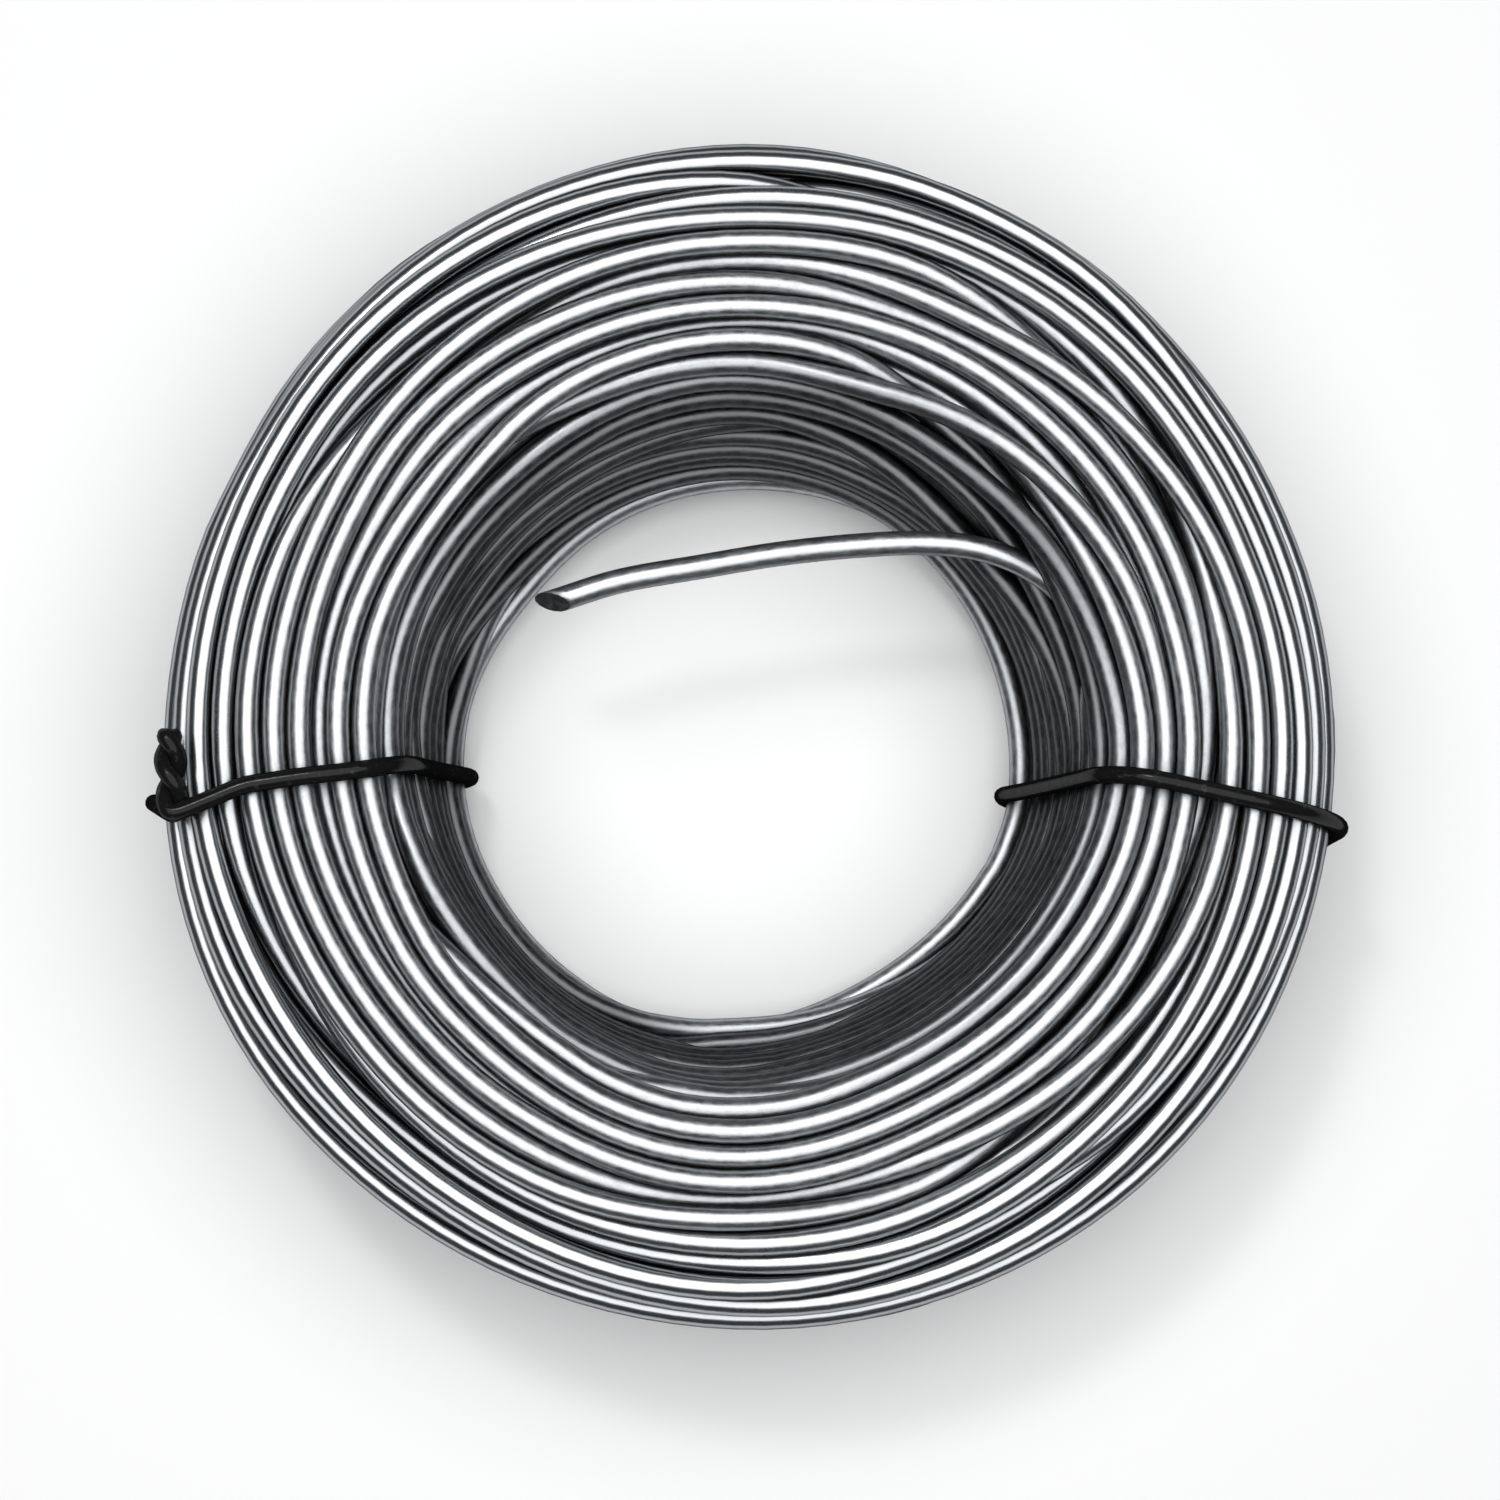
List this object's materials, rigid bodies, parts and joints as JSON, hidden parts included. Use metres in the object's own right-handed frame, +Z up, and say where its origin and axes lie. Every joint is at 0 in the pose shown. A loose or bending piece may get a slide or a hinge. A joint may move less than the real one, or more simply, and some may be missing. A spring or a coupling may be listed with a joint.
{
  "type": "coil of tie wire",
  "caption": "Round hand-size coil of bright galvanised tie wire with an open bore, a loose inner end across it and twisted black wire ties on both sides.",
  "frame": {"origin": "centre of the bore, on the level surface that the coil lies on", "axes": "+Z up along the bore's axis, +X towards the right-hand tie, +Y towards the side where the wire's free inner end crosses the bore"},
  "size_m": [0.0777, 0.076, 0.0235],
  "materials": {
    "galvanised_wire": "drawn and galvanised, bright, fine lengthwise scratches",
    "black_tie": "glossy black coating on thin binding wire"
  },
  "bodies": {
    "root": {"wire_coil": "galvanised_wire", "tie_left": "black_tie", "tie_right": "black_tie"}
  },
  "joints": []
}
